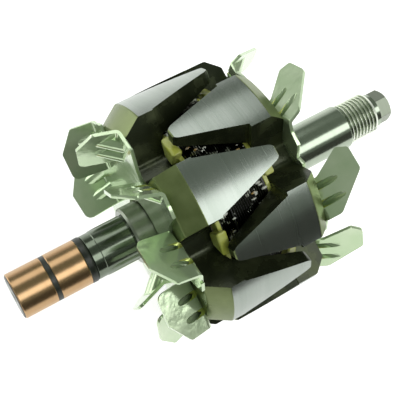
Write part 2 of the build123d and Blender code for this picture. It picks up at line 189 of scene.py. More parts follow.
# %% [markdown]
# ## The sky
# The world lights the rotor too. It is white behind the rotor, like the sweep of paper in the
# photograph, and a dark green-grey on the viewer's side, which the polished shaft mirrors
# between the boxes. A dot product with one fixed direction tells the two sides apart. Only
# the camera sees plain white everywhere. All node trees here are built with the same helper,
# which makes a node and fills its inputs.


# %% Sky
def feed(tree, node, inputs):
    # gives each of these inputs a value, or links it to a socket
    for slot, value in inputs.items():
        if isinstance(value, bpy.types.NodeSocket):
            tree.links.new(value, node.inputs[slot])
        else:
            node.inputs[slot].default_value = value


def add_node(tree, kind, inputs, **settings):
    node = tree.nodes.new(kind)
    for label, value in settings.items():
        setattr(node, label, value)
    feed(tree, node, inputs)
    return node


def calc(tree, operation, *values):
    # the result of one Math node; a value is a number or a socket
    inputs = dict(enumerate(values))
    return add_node(tree, "ShaderNodeMath", inputs, operation=operation).outputs[0]


world = bpy.data.worlds.new("studio")
bpy.context.scene.world = world
world.use_nodes = True
sky = world.node_tree
sky.nodes.clear()
sky_place = add_node(sky, "ShaderNodeTexCoord", {})
sky_dot = add_node(
    sky, "ShaderNodeVectorMath",
    {0: sky_place.outputs["Generated"], 1: (-depth).normalized()}, operation="DOT_PRODUCT",
)
sky_side = calc(sky, "MULTIPLY_ADD", sky_dot.outputs["Value"], 0.5, 0.5)
sky_ramp = add_node(sky, "ShaderNodeValToRGB", {0: sky_side})
white_end, dark_end = sky_ramp.color_ramp.elements
white_end.position, dark_end.position = 0.34, 0.46
white_end.color, dark_end.color = (1.0, 1.0, 1.0, 1), (0.215, 0.245, 0.205, 1)
sky_ray = add_node(sky, "ShaderNodeLightPath", {})
sky_mix = add_node(
    sky, "ShaderNodeMix",
    {0: sky_ray.outputs["Is Camera Ray"], 6: sky_ramp.outputs["Color"], 7: (1, 1, 1, 1)},
    data_type="RGBA",
)
sky_light = add_node(sky, "ShaderNodeBackground", {"Color": sky_mix.outputs[2]})
add_node(sky, "ShaderNodeOutputWorld", {"Surface": sky_light.outputs[0]})

# %% [markdown]
# ## The floor
# The floor is a matt sheet of paper. It glows white for the camera and in mirror images
# alone, so it keeps the rotor's shadow and sends no extra light back to it.

# %% Floor
floor_z = cad_box[0][2] - 0.0002
floor, tree = flat_board(
    "floor", [(-4, -4, floor_z), (4, -4, floor_z), (4, 4, floor_z), (-4, 4, floor_z)]
)
tree.nodes.clear()
floor_matt = add_node(tree, "ShaderNodeBsdfDiffuse", {"Color": (0.8, 0.8, 0.8, 1)})
floor_glow = add_node(tree, "ShaderNodeEmission", {"Strength": 0.85})
floor_add = add_node(
    tree, "ShaderNodeAddShader", {0: floor_matt.outputs[0], 1: floor_glow.outputs[0]}
)
floor_ray = add_node(tree, "ShaderNodeLightPath", {}).outputs
floor_glows = calc(tree, "MAXIMUM", floor_ray["Is Camera Ray"], floor_ray["Is Glossy Ray"])
floor_glows = calc(tree, "MAXIMUM", floor_glows, floor_ray["Is Transmission Ray"])
floor_mix = add_node(
    tree, "ShaderNodeMixShader",
    {0: floor_glows, 1: floor_matt.outputs[0], 2: floor_add.outputs[0]},
)
add_node(tree, "ShaderNodeOutputMaterial", {"Surface": floor_mix.outputs[0]})
print("floor at", round(floor_z, 4))

# %% [markdown]
# ## Shared effects
# Two effects come back in many of the finishes. Turning on a lathe leaves fine rings round
# the shaft's axis, so that group stretches a noise along the rings. Handling leaves soft
# blotches, so the other group is a coarse noise with a threshold. Both read the object's own
# coordinates, so the pattern stays on the metal when the view changes.


# %% Two shader groups
def new_group(name, numbers, outputs):
    group = bpy.data.node_groups.new(name, "ShaderNodeTree")
    for label, value in numbers:
        socket = group.interface.new_socket(label, in_out="INPUT", socket_type="NodeSocketFloat")
        socket.default_value = value
    for label in outputs:
        group.interface.new_socket(label, in_out="OUTPUT", socket_type="NodeSocketFloat")
    return group, add_node(group, "NodeGroupInput", {}).outputs


def noise(tree, place, scale, detail):
    inputs = {"Vector": place, "Scale": scale, "Detail": detail}
    return add_node(tree, "ShaderNodeTexNoise", inputs).outputs["Fac"]


turning, given = new_group(
    "turning_rings", (("Ring density", 2600.0), ("Waver", 22.0)), ("Rings", "Broad")
)
place = add_node(turning, "ShaderNodeTexCoord", {}).outputs["Object"]
parts = add_node(turning, "ShaderNodeSeparateXYZ", {0: place}).outputs
across = calc(turning, "MULTIPLY", parts["X"], given["Ring density"])
waver_y = calc(turning, "MULTIPLY", parts["Y"], given["Waver"])
waver_z = calc(turning, "MULTIPLY", parts["Z"], given["Waver"])
broad_x = calc(turning, "MULTIPLY", across, 0.12)
fine_place = add_node(turning, "ShaderNodeCombineXYZ", {0: across, 1: waver_y, 2: waver_z})
broad_place = add_node(turning, "ShaderNodeCombineXYZ", {0: broad_x, 1: waver_y, 2: waver_z})
rings = noise(turning, fine_place.outputs[0], 1.0, 3.0)
broad = noise(turning, broad_place.outputs[0], 1.0, 2.0)
add_node(turning, "NodeGroupOutput", {"Rings": rings, "Broad": broad})

blotches, given = new_group(
    "soft_blotches", (("Size", 180.0), ("From", 0.45), ("To", 0.65)), ("Blotch", "Grain")
)
place = add_node(blotches, "ShaderNodeTexCoord", {}).outputs["Object"]
patch = noise(blotches, place, given["Size"], 4.0)
span = add_node(
    blotches, "ShaderNodeMapRange",
    {"Value": patch, "From Min": given["From"], "From Max": given["To"]},
    interpolation_type="SMOOTHSTEP",
)
grain = noise(blotches, place, calc(blotches, "MULTIPLY", given["Size"], 14.0), 2.0)
add_node(blotches, "NodeGroupOutput", {"Blotch": span.outputs["Result"], "Grain": grain})
print("groups", turning.name, blotches.name)

# %% [markdown]
# ## A helper for finishes
# Each finish starts from the same small helper, which places a Principled shader and one of
# the groups. A finish is then its two colours, whether it is metal, its roughness and how
# strongly the pattern shows as a bump, in millimetres.


# %% Finish helper
def finish(
    name, colour, second, metallic, roughness, effect, numbers, bump, spread=0.08, coat=0.0, swell=0.0
):
    # numbers are the effect's own inputs; spread is how far the roughness varies
    look = bpy.data.materials.new(name)
    look.use_nodes = True
    tree = look.node_tree
    group = add_node(tree, "ShaderNodeGroup", numbers, node_tree=effect)
    fine_out, broad_out = group.outputs[0], group.outputs[1]
    tone, height = (broad_out, fine_out) if effect is turning else (fine_out, broad_out)
    mix = add_node(
        tree, "ShaderNodeMix", {0: tone, 6: (*colour, 1), 7: (*second, 1)}, data_type="RGBA"
    )
    rough = add_node(
        tree, "ShaderNodeMapRange",
        {"Value": fine_out, "To Min": max(0.02, roughness - spread), "To Max": roughness + spread},
    )
    relief = {"Strength": 1.0, "Distance": bump * MM, "Height": height}
    if swell:
        # a slow waviness under the fine relief
        wave = {"Strength": 1.0, "Distance": swell * MM, "Height": fine_out}
        relief["Normal"] = add_node(tree, "ShaderNodeBump", wave).outputs["Normal"]
    shader = {
        "Metallic": metallic, "Coat Weight": coat, "Coat Roughness": 0.08,
        "Base Color": mix.outputs[2], "Roughness": rough.outputs["Result"],
        "Normal": add_node(tree, "ShaderNodeBump", relief).outputs["Normal"],
    }
    feed(tree, tree.nodes["Principled BSDF"], shader)
    return look


# %% [markdown]
# ## Metals
# The bar is one steel, but each stretch of it was finished by another tool, so the journal,
# the thread, the seat and the shoulder differ in roughness and tone; the thread's lighter tone
# is painted light on its crests and the seat's darker tone is painted shade. The claws are bright
# where they were turned with the rotor, and keep a brown-green skin where they were forged.
# The fans have a clear passivated plating, so their finish has a coat, and a slow swell as
# pressed sheet has. Plating pools yellow in the pressed hollows, and the rounded edges are painted
# dark as painted shade.

# %% Steel, plating and copper
polished_steel = finish(
    "polished_steel", (0.40, 0.455, 0.37), (0.33, 0.385, 0.30), 1.0, 0.19, turning,
    {"Ring density": 2600.0, "Waver": 6.0}, 0.003, 0.06,
)
# lighter than the journal's steel: painted light, so the thread's crests shine
lit_thread_steel = finish(
    "lit_thread_steel", (0.80, 0.84, 0.74), (0.66, 0.70, 0.60), 1.0, 0.26, turning,
    {"Ring density": 3000.0, "Waver": 18.0}, 0.004, 0.06,
)
# darker than the journal's steel: painted shade on the seat
shaded_seat_steel = finish(
    "shaded_seat_steel", (0.17, 0.20, 0.155), (0.13, 0.155, 0.115), 1.0, 0.17, turning,
    {"Ring density": 4200.0, "Waver": 12.0}, 0.003, 0.05,
)
satin_steel = finish(
    "satin_steel", (0.30, 0.33, 0.27), (0.22, 0.25, 0.19), 1.0, 0.36, turning,
    {"Ring density": 3000.0, "Waver": 18.0}, 0.012,
)
turned_claw = finish(
    "turned_claw", (0.37, 0.40, 0.37), (0.28, 0.32, 0.28), 1.0, 0.25, turning,
    {"Ring density": 1700.0, "Waver": 4.0}, 0.010, 0.08,
)
forged_claw = finish(
    "forged_claw", (0.14, 0.18, 0.060), (0.22, 0.27, 0.110), 0.60, 0.34, blotches,
    {"Size": 90.0, "From": 0.3, "To": 0.75}, 0.03,
)
# near black: painted shade on the claws' deep flanks and undersides, and on the shaft's drilled end
painted_shade_steel = finish(
    "painted_shade_steel", (0.030, 0.037, 0.018), (0.075, 0.090, 0.040), 0.5, 0.30, blotches,
    {"Size": 130.0, "From": 0.4, "To": 0.75}, 0.05,
)
plated_sheet = finish(
    "plated_sheet", (0.50, 0.66, 0.39), (0.70, 0.81, 0.58), 0.62, 0.15, blotches,
    {"Size": 60.0, "From": 0.3, "To": 0.75}, 0.012, 0.05, coat=0.8, swell=0.14,
)
plated_hollow = finish(
    "plated_hollow", (0.40, 0.50, 0.10), (0.66, 0.70, 0.20), 0.55, 0.20, blotches,
    {"Size": 240.0, "From": 0.4, "To": 0.7}, 0.01, 0.05, coat=0.8,
)
# dark: painted shade on the fans' rounded edges
sheared_edge_shade = finish(
    "sheared_edge_shade", (0.05, 0.09, 0.03), (0.10, 0.15, 0.06), 0.4, 0.30, blotches,
    {"Size": 300.0, "From": 0.4, "To": 0.7}, 0.01,
)
slip_copper = finish(
    "slip_copper", (0.52, 0.345, 0.19), (0.42, 0.26, 0.13), 1.0, 0.25, turning,
    {"Ring density": 1900.0, "Waver": 5.0}, 0.004, 0.06,
)
lead_copper = finish(
    "lead_copper", (0.45, 0.20, 0.07), (0.52, 0.26, 0.1), 1.0, 0.25, blotches,
    {"Size": 300.0, "From": 0.4, "To": 0.6}, 0.004,
)
print("metals", len(bpy.data.materials))

# %% [markdown]
# ## Plastic, varnish and paper
# The former is yellow-green nylon and the slip rings sit in a black moulding. Coil
# varnish is nearly black; its bright second colour is mirror metal in small patches, painted
# glints that mirror the boxes, so the pattern's threshold is high.

# %% Plastic, varnish and paper
black_moulding = finish(
    "black_moulding", (0.018, 0.022, 0.016), (0.028, 0.033, 0.024), 0.0, 0.36, blotches,
    {"Size": 300.0, "From": 0.4, "To": 0.6}, 0.01,
)
former_nylon = finish(
    "former_nylon", (0.56, 0.60, 0.10), (0.72, 0.76, 0.26), 0.0, 0.20, blotches,
    {"Size": 110.0, "From": 0.35, "To": 0.65}, 0.02,
)
# bright metal patches: painted glints on the near-black varnish
varnish_and_glints = finish(
    "varnish_and_glints", (0.008, 0.009, 0.006), (0.62, 0.64, 0.55), 1.0, 0.16, blotches,
    {"Size": 330.0, "From": 0.54, "To": 0.66}, 0.03, 0.06,
)
coil_shade = finish(
    "coil_shade", (0.004, 0.005, 0.003), (0.014, 0.012, 0.006), 0.0, 0.4, blotches,
    {"Size": 160.0, "From": 0.4, "To": 0.7}, 0.1, 0.08,
)
# near white: painted glints on the varnish drops, amber in places
drop_glint_paint = finish(
    "drop_glint_paint", (0.72, 0.74, 0.66), (0.50, 0.30, 0.06), 0.0, 0.14, blotches,
    {"Size": 260.0, "From": 0.52, "To": 0.62}, 0.01, 0.04, coat=1.0,
)
pressed_paper = finish(
    "pressed_paper", (0.30, 0.26, 0.16), (0.38, 0.33, 0.21), 0.0, 0.6, blotches,
    {"Size": 200.0, "From": 0.4, "To": 0.6}, 0.02,
)
red_sleeve = finish(
    "red_sleeve", (0.20, 0.028, 0.016), (0.27, 0.05, 0.025), 0.0, 0.3, blotches,
    {"Size": 400.0, "From": 0.4, "To": 0.6}, 0.03,
)
print("finishes", len(bpy.data.materials))

# %% [markdown]
# ## Turned forms and prisms
# Most of a rotor is turned, so one helper spins a profile round X. The profile is a list of
# (place along the shaft, radius) in millimetres. A point on the axis becomes a single vertex,
# so the ends are closed. Milled and pressed forms are prisms over an outline.


# %% Turned forms and prisms
def dress(mesh, look, sharp):
    # smooth faces, whose edges stay sharp above this angle in degrees, with one finish
    for face in mesh.polygons:
        face.use_smooth = True
    mesh.set_sharp_from_angle(angle=radians(sharp))
    if look is not None:
        mesh.materials.clear()
        mesh.materials.append(look)


def piece_from(name, mesh, look, sharp=12.0):
    dress(mesh, look, sharp)
    return add_object(name, mesh)


def mesh_from(name, shape):
    # the finished shape as a mesh, with all its faces turned outward
    bmesh.ops.recalc_face_normals(shape, faces=shape.faces)
    mesh = bpy.data.meshes.new(name)
    shape.to_mesh(mesh)
    shape.free()
    return mesh


def turned_mesh(name, profile, steps=192, closed=True):
    # closed joins the profile's last point to its first, as a ring needs
    shape = bmesh.new()
    rings = []
    for x, radius in profile:
        if radius < 1e-6:
            rings.append([shape.verts.new((x * MM, 0, 0))])
        else:
            ring = []
            for k in range(steps):
                a = 2 * pi * k / steps
                ring.append(shape.verts.new((x * MM, radius * cos(a) * MM, radius * sin(a) * MM)))
            rings.append(ring)
    pairs = list(zip(rings, rings[1:]))
    if closed:
        pairs.append((rings[-1], rings[0]))
    for one, two in pairs:
        if len(one) == 1 and len(two) == 1:
            continue
        for k in range(steps):
            n = (k + 1) % steps
            corners = [one[k % len(one)], one[n % len(one)], two[n % len(two)], two[k % len(two)]]
            corners = list(dict.fromkeys(corners))
            shape.faces.new(corners)
    return mesh_from(name, shape)


def lathe(name, profile, look, steps=192):
    # a turned piece; the look is None where its faces get theirs later
    return piece_from(name, turned_mesh(name, profile, steps), look)


def at_angle(angle, x, out, side):
    # the point at x along the shaft, out from it at this angle and side from that line
    return Vector((
        x * MM,
        (out * cos(angle) - side * sin(angle)) * MM,
        (out * sin(angle) + side * cos(angle)) * MM,
    ))


def block_mesh(name, outline, low, high, place):
    # a prism: place(u, v, w) gives the point for outline corner (u, v) at height w
    shape = bmesh.new()
    bottom = [shape.verts.new(place(u, v, low)) for u, v in outline]
    top = [shape.verts.new(place(u, v, high)) for u, v in outline]
    shape.faces.new(bottom)
    shape.faces.new(top)
    for k in range(len(outline)):
        n = (k + 1) % len(outline)
        shape.faces.new((bottom[k], bottom[n], top[n], top[k]))
    return mesh_from(name, shape)


# %% [markdown]
# ## Cuts and rounded edges
# Cuts are Boolean modifiers with the exact solver. A bevel rounds what a tool would have left
# sharp, because only a rounded edge catches the light. Each modifier is kept as a plain mesh
# at once, so that the next step works on real faces.


# %% Cuts and rounded edges
def keep_mesh(piece):
    # keeps what the modifiers make as a plain mesh
    graph = bpy.context.evaluated_depsgraph_get()
    mesh = bpy.data.meshes.new_from_object(piece.evaluated_get(graph))
    piece.modifiers.clear()
    piece.data = mesh
    return piece


def settle(piece, look=None, sharp=12.0):
    dress(keep_mesh(piece).data, look, sharp)
    return piece


def bevel(piece, width, steps=2, angle=28.0, sharp=35.0, look_number=-1):
    # a look number of -1 lets each bevel face take the finish beside it
    edge = piece.modifiers.new("edge", "BEVEL")
    edge.material = look_number
    edge.width = width * MM
    edge.segments = steps
    edge.limit_method = "ANGLE"
    edge.angle_limit = radians(angle)
    edge.use_clamp_overlap = True
    return settle(piece, None, sharp)


def soften(piece, width, steps=2, angle=28.0, sharp=35.0):
    # rounds the edges, then lets each large face keep its own direction
    bevel(piece, width, steps, angle, sharp)
    flat = piece.modifiers.new("flat", "WEIGHTED_NORMAL")
    flat.keep_sharp = True
    flat.weight = 90
    return keep_mesh(piece)


def carve(piece, tool_mesh, operation, looks="INDEX"):
    # cuts, joins or intersects a piece with a mesh
    tool = add_object("tool", tool_mesh)
    cut = piece.modifiers.new("cut", "BOOLEAN")
    cut.operation = operation
    cut.solver = "EXACT"
    cut.material_mode = looks
    cut.object = tool
    settle(piece)
    bpy.data.objects.remove(tool)
    return piece


def join_meshes(name, meshes):
    shape = bmesh.new()
    for mesh in meshes:
        shape.from_mesh(mesh)
    return mesh_from(name, shape)


def report(*pieces):
    for piece in pieces:
        print(piece.name, "faces", len(piece.data.polygons))


# %% [markdown]
# ## Sizes
# These are the CAD model's stations along the shaft and its radii, in millimetres. Reading
# the stations off the frame's boxes keeps the pieces where the solids are. A sketch would
# carry the same sizes, each written once and used wherever two pieces meet.

# %% Stations along the shaft
box_of = {name: [tuple(v / MM for v in c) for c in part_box(name)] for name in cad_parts}
end_x, tip_x = box_of["shaft"][0][0], box_of["shaft"][1][0]
rear_face_x = box_of["rear_claw_pole"][0][0]
front_face_x = box_of["front_claw_pole"][1][0]
rear_inner_x, front_inner_x = box_of["pole_core"][0][0], box_of["pole_core"][1][0]
sheet = 1.2
rear_fan_x = rear_face_x - sheet
front_fan_x = box_of["spacer_ring"][0][0]
rim_x, outer_ring_x = box_of["outer_slip_ring"][0][0], box_of["outer_slip_ring"][1][0]
band_x, inner_ring_x = box_of["inner_slip_ring"][0][0], box_of["inner_slip_ring"][1][0]
stub_x = box_of["slip_ring_moulding"][1][0]
relief_x = stub_x + 3.4
seat_x = rear_fan_x - 7.1
journal_x = 25.05
thread_x = 25.9
neck_x = 38.3
hexagon_x = 40.0

journal_radius = 8.5
stub_radius = 5.2
core_seat_radius = 10.0
shoulder_radius = 10.7
core_radius = 21.0
coil_inner_radius = 22.5
former_radius = 33.0
ring_inner_radius = 7.0
groove_angle = radians(319.56)
groove_half = 2.0
rear_claw_angle = 49.56
front_claw_angle = 21.35
print("from", round(end_x, 2), "to", round(tip_x, 2))

# %% [markdown]
# ## The shaft
# One turned bar. The profile goes from the drilled centre at one end to the other, with a
# small break at each step. The thread is left out of the profile and rolled on below. The
# coil's leads lie in a milled groove, which is a prism cut out of the bar. One lathe piece
# carries four finishes, so its faces are shared out by their place along the shaft.


# %% Shaft body
def mill_slot(piece, low_x, high_x, floor, top):
    # a straight slot in line with the coil's leads
    outline = [(low_x, floor), (high_x, floor), (high_x, top), (low_x, top)]
    slot = block_mesh(
        "slot", outline, -groove_half, groove_half, lambda u, v, w: at_angle(groove_angle, u, v, w)
    )
    carve(piece, slot, "DIFFERENCE")


shaft_profile = [
    (end_x + 5.0, 0), (end_x + 4.5, 0.8), (end_x + 2.0, 0.8), (end_x, 1.9),
    (end_x, stub_radius), (stub_x, stub_radius),
    (stub_x, 8.1), (stub_x + 0.2, 8.3), (relief_x - 0.1, 8.3), (relief_x, 8.36),
    (relief_x + 0.15, journal_radius), (seat_x - 0.5, journal_radius),
    (seat_x - 0.3, 8.3), (seat_x, 8.3), (seat_x, core_seat_radius),
    (seat_x + 0.6, 10.6), (seat_x + 0.8, shoulder_radius),
    (rear_fan_x, shoulder_radius), (rear_fan_x, core_seat_radius),
    (front_fan_x, core_seat_radius), (front_fan_x, journal_radius),
    (journal_x - 0.1, journal_radius), (journal_x + 0.1, 8.42),
    (thread_x, 7.75), (thread_x, 6.95),
    (neck_x - 0.4, 6.95), (neck_x, 6.6), (hexagon_x, 6.6), (hexagon_x, 0),
]
shaft_body = lathe("shaft_body", shaft_profile, None)
mill_slot(shaft_body, stub_x - 0.01, rear_face_x + 1.9, floor=5.4, top=12.0)
for look in (polished_steel, satin_steel, shaded_seat_steel, painted_shade_steel):
    shaft_body.data.materials.append(look)
for face in shaft_body.data.polygons:
    x = face.center.x / MM
    # the drilled end takes the near-black steel of painted shade
    if x < end_x + 5:
        face.material_index = 3
    # the seat's darker steel is painted shade
    elif x < seat_x:
        face.material_index = 2
    else:
        face.material_index = 1 if seat_x < x < front_fan_x else 0
report(shaft_body)

# %% [markdown]
# ## The thread
# A thread is one ridge wound round the bar, so Geometry Nodes make it: a spiral curve, swept
# with a three-cornered section. The pitch and the turns are inputs of the tree. A rolled
# thread has rounded crests, so a small bevel follows. The coil's wire is wound with the same
# tree further on, with a round section instead.


# %% Thread by Geometry Nodes
def socket_id(tree, label):
    # a modifier knows an input by this identifier, not by its name
    return next(
        s.identifier
        for s in tree.interface.items_tree
        if s.item_type == "SOCKET" and s.in_out == "INPUT" and s.name == label
    )


def new_tree(name, numbers, look):
    # a tree with named inputs that ends in Realize Instances and Set Material
    tree = bpy.data.node_groups.new(name, "GeometryNodeTree")
    tree.interface.new_socket("Geometry", in_out="OUTPUT", socket_type="NodeSocketGeometry")
    tree.interface.new_socket("Geometry", in_out="INPUT", socket_type="NodeSocketGeometry")
    for label, kind, value in numbers:
        socket = tree.interface.new_socket(label, in_out="INPUT", socket_type=kind)
        socket.default_value = value
    solid = add_node(tree, "GeometryNodeRealizeInstances", {})
    paint = add_node(
        tree, "GeometryNodeSetMaterial", {"Geometry": solid.outputs[0], "Material": look}
    )
    add_node(tree, "NodeGroupOutput", {0: paint.outputs[0]})
    return tree, add_node(tree, "NodeGroupInput", {}).outputs, solid


def grow(name, tree, values, look, sharp=30.0, start=None):
    # runs a tree on an object and keeps its result as a plain mesh
    piece = add_object(name, start or bpy.data.meshes.new(name))
    made = piece.modifiers.new("made", "NODES")
    made.node_group = tree
    for label, value in values.items():
        made[socket_id(tree, label)] = value
    return settle(piece, look, sharp)


ridge, given, ridge_end = new_tree(
    "wound_ridge",
    (
        ("Turns", "NodeSocketFloat", 8.0),
        ("Pitch", "NodeSocketFloat", 1.5 * MM),
        ("Start", "NodeSocketFloat", 0.0),
        ("Radius", "NodeSocketFloat", 7.1 * MM),
        ("Section radius", "NodeSocketFloat", 0.5 * MM),
        ("Section corners", "NodeSocketInt", 3),
        ("Steps per turn", "NodeSocketInt", 64),
    ),
    polished_steel,
)
length = calc(ridge, "MULTIPLY", given["Turns"], given["Pitch"])
coil_line = add_node(
    ridge, "GeometryNodeCurveSpiral",
    {"Resolution": given["Steps per turn"], "Rotations": given["Turns"],
     "Start Radius": given["Radius"], "End Radius": given["Radius"], "Height": length},
)
stand = add_node(
    ridge, "GeometryNodeSetCurveNormal", {"Curve": coil_line.outputs[0]}, mode="Z_UP"
)
start_at = add_node(ridge, "ShaderNodeCombineXYZ", {0: given["Start"]})
lay = add_node(
    ridge, "GeometryNodeTransform",
    {"Geometry": stand.outputs[0], "Translation": start_at.outputs[0], "Rotation": (0, pi / 2, 0)},
)
section = add_node(
    ridge, "GeometryNodeCurvePrimitiveCircle",
    {"Resolution": given["Section corners"], "Radius": given["Section radius"]},
)
sweep = add_node(
    ridge, "GeometryNodeCurveToMesh",
    {"Curve": lay.outputs[0], "Profile Curve": section.outputs[0], "Fill Caps": True},
)
feed(ridge, ridge_end, {0: sweep.outputs[0]})
thread_pitch = 1.5
thread_turns = 7.9
thread = grow(
    "thread", ridge,
    {"Turns": thread_turns, "Pitch": thread_pitch * MM, "Start": (thread_x + 0.3) * MM,
     "Radius": 7.15 * MM, "Section radius": 0.85 * MM, "Section corners": 3,
     "Steps per turn": 72},
    lit_thread_steel, 25.0,
)
soften(thread, 0.22, steps=3, angle=25.0, sharp=60.0)
report(thread)

# %% [markdown]
# ## The hexagon
# The tip is milled to six flats so that a spanner can hold the shaft. A prism with its front
# corners turned off is what a prism and a short lathe solid share, so the two are intersected.

# %% Hexagon
across_flats = 11.0
first_corner = 34.5
hexagon_radius = across_flats / 2 / cos(pi / 6)
hexagon_corners = [
    (hexagon_radius * cos(radians(angle)), hexagon_radius * sin(radians(angle)))
    for angle in (first_corner + 60 * k for k in range(6))
]
hexagon = piece_from(
    "hexagon",
    block_mesh(
        "hexagon", hexagon_corners, hexagon_x, tip_x, lambda u, v, w: (w * MM, u * MM, v * MM)
    ),
    None,
)
round_off = turned_mesh(
    "round_off",
    [
        (hexagon_x - 1, 0), (hexagon_x - 1, 7.2), (tip_x - 0.9, 6.6), (tip_x, 5.2),
        (tip_x, 1.9), (tip_x - 2.0, 0.8), (tip_x - 4.5, 0.8), (tip_x - 5.0, 0),
    ],
    96, closed=False,
)
carve(hexagon, round_off, "INTERSECT")
hexagon.data.materials.append(satin_steel)
soften(hexagon, 0.12)
report(hexagon)

# %% [markdown]
# ## The claw poles
# Each pole is a forging: a thick disc with six arms that bend over into tapering claws, then
# turned outside with the rotor. It is easiest to make the turned solid and the six-armed
# outline apart, and keep what they share. The star is a prism along the shaft, and a claw is
# a prism that stands on it, seen from outside as a long wedge with a rounded tip.

# %% Turned solid and one arm
claw_radius = 43.8
base_half = claw_radius * sin(radians(14.2))
tip_half = claw_radius * sin(radians(3.1))
reach = 31.4
valley = 28.0
corner = 2.5
pole_disc = 12.0
arm_low, arm_high = 31.5, 56.0


def arc_points(centre, radius, start, stop, count):
    return [
        (
            centre[0] + radius * cos(start + (stop - start) * k / count),
            centre[1] + radius * sin(start + (stop - start) * k / count),
        )
        for k in range(count + 1)
    ]


def star_outline(turn):
    # six arms with parallel sides and a rounded valley between each two
    swing = asin((base_half + corner) / (valley + corner))
    far = 60.0
    points = []
    for k in range(6):
        a = radians(turn + 60 * k)
        local = [(far, base_half)]
        centre = ((valley + corner) * cos(swing), base_half + corner)
        local += arc_points(centre, corner, -pi / 2, -pi + swing, 5)
        local += arc_points((0, 0), valley, swing, pi / 3 - swing, 4)[1:]
        other = (
            (valley + corner) * cos(pi / 3 - swing), (valley + corner) * sin(pi / 3 - swing)
        )
        local += arc_points(other, corner, pi + pi / 3 - swing, pi / 3 + pi / 2, 5)[1:]
        local += [(
            far * cos(pi / 3) + base_half * sin(pi / 3), far * sin(pi / 3) - base_half * cos(pi / 3)
        )]
        points += [(u * cos(a) - v * sin(a), u * sin(a) + v * cos(a)) for u, v in local]
    return points


def claw_outline(face, toward, chamfer_length):
    # a hair narrower than the star's arms, so that no two faces lie in one plane when joined
    edge = face + toward * chamfer_length
    end = edge + toward * reach
    round_end = 1.8
    side = [
        (face - toward * 0.5, base_half - 0.02), (edge + toward * 4.0, base_half - 0.02),
        (end - toward * round_end, tip_half + 0.28 * round_end),
        (end - toward * 0.45 * round_end, tip_half - 0.05), (end, tip_half - 0.95),
    ]
    return side + [(x, -t) for x, t in reversed(side)]


def pole_section(face, toward, face_radius, chamfer_length):
    # the turned solid's profile: disc, chamfer, outer face and the claws' underside
    edge = face + toward * chamfer_length
    inner = face + toward * pole_disc
    end = edge + toward * reach
    return [
        (face, core_seat_radius), (face, face_radius - 0.6),
        (face + toward * 0.5, face_radius + 0.1),
        (edge - toward * 0.3, claw_radius - 0.2), (edge + toward * 0.2, claw_radius),
        (end - toward * 0.4, claw_radius), (end, claw_radius - 0.5),
        (end, claw_radius - 4.3), (inner + toward * 1.2, 34.45), (inner, 33.4),
        (inner, core_seat_radius),
    ]


print("claw half-widths", round(base_half, 2), round(tip_half, 2))

# %% [markdown]
# ## Arms turned round the shaft
# The six arms are one arm, turned. Geometry Nodes put a point for each copy on the axis, place
# the arm on every point and turn each by its own angle. The bobbin's lobes use the tree again.
# The claws' outer faces were turned bright and their chamfers kept the forged skin. The deep
# flanks are painted near black as painted shade, so the faces get their finish by place and
# direction.

# %% Arms by Geometry Nodes, and the two poles
turn_round, given, turn_end = new_tree(
    "turned_copies",
    (("Copies", "NodeSocketInt", 6), ("First angle", "NodeSocketFloat", 0.0)),
    forged_claw,
)
spots = add_node(
    turn_round, "GeometryNodeMeshLine", {"Offset": (0, 0, 0), "Count": given["Copies"]}
)
number = add_node(turn_round, "GeometryNodeInputIndex", {})
share = calc(turn_round, "DIVIDE", 2 * pi, given["Copies"])
angle = calc(turn_round, "MULTIPLY_ADD", number.outputs[0], share, given["First angle"])
spin = add_node(turn_round, "ShaderNodeCombineXYZ", {0: angle})
copies = add_node(
    turn_round, "GeometryNodeInstanceOnPoints",
    {"Points": spots.outputs[0], "Instance": given["Geometry"], "Rotation": spin.outputs[0]},
)
feed(turn_round, turn_end, {0: copies.outputs[0]})


def claw_pole(name, face, toward, face_radius, chamfer_length, turn):
    # toward is 1 or -1, the way from the outer face to the rotor's middle
    star = block_mesh(
        name, star_outline(turn), face - toward, face + toward * (pole_disc + 0.6),
        lambda u, v, w: (w * MM, u * MM, v * MM),
    )
    arm = block_mesh(
        name + "_arm", claw_outline(face, toward, chamfer_length), arm_low, arm_high,
        lambda u, v, w: (u * MM, w * MM, v * MM),
    )
    arms = grow(
        name + "_arms", turn_round, {"Copies": 6, "First angle": radians(turn)}, forged_claw,
        start=arm,
    )
    pole = piece_from(name, star, None)
    carve(pole, arms.data, "UNION")
    bpy.data.objects.remove(arms)
    solid = turned_mesh("solid", pole_section(face, toward, face_radius, chamfer_length), 288)
    carve(pole, solid, "INTERSECT")
    pole.data.materials.clear()
    for look in (turned_claw, forged_claw, painted_shade_steel):
        pole.data.materials.append(look)
    soften(pole, 0.32, angle=32.0)
    # bright outside, forged skin on chamfers and discs, painted shade on flanks and undersides
    for side in pole.data.polygons:
        outward = Vector((0, side.center.y, side.center.z))
        radius = outward.length / MM
        lift = side.normal.dot(outward.normalized())
        if radius > claw_radius - 0.12 and lift > 0.97:
            side.material_index = 0
        elif (lift > 0.35 and radius > 34) or abs(side.normal.x) > 0.8:
            side.material_index = 1
        else:
            side.material_index = 2
    report(pole)
    return pole


rear_pole = claw_pole(
    "rear_pole", rear_face_x, 1, face_radius=39.0, chamfer_length=7.0, turn=rear_claw_angle
)
front_pole = claw_pole(
    "front_pole", front_face_x, -1, face_radius=39.8, chamfer_length=4.9, turn=front_claw_angle
)

# %% [markdown]
# ## The fans
# Both fans are pressed from sheet. Their solids already have the bends, gussets and rims, so
# a copy of each is merged, its flat triangles are joined into whole faces, and its sheared
# edges get a small round that catches the light. A gusset is a short groove that the press
# tool drives into the bend to stiffen it. From the pole's side it is a hollow, so a row of
# round-ended bars, two to a blade, is carved out of the copy. The photograph shows the front
# blades steeper than the solid's, and the topmost one bent up most, as a blade is that has
# had a knock: a short loop turns their points about the bend.


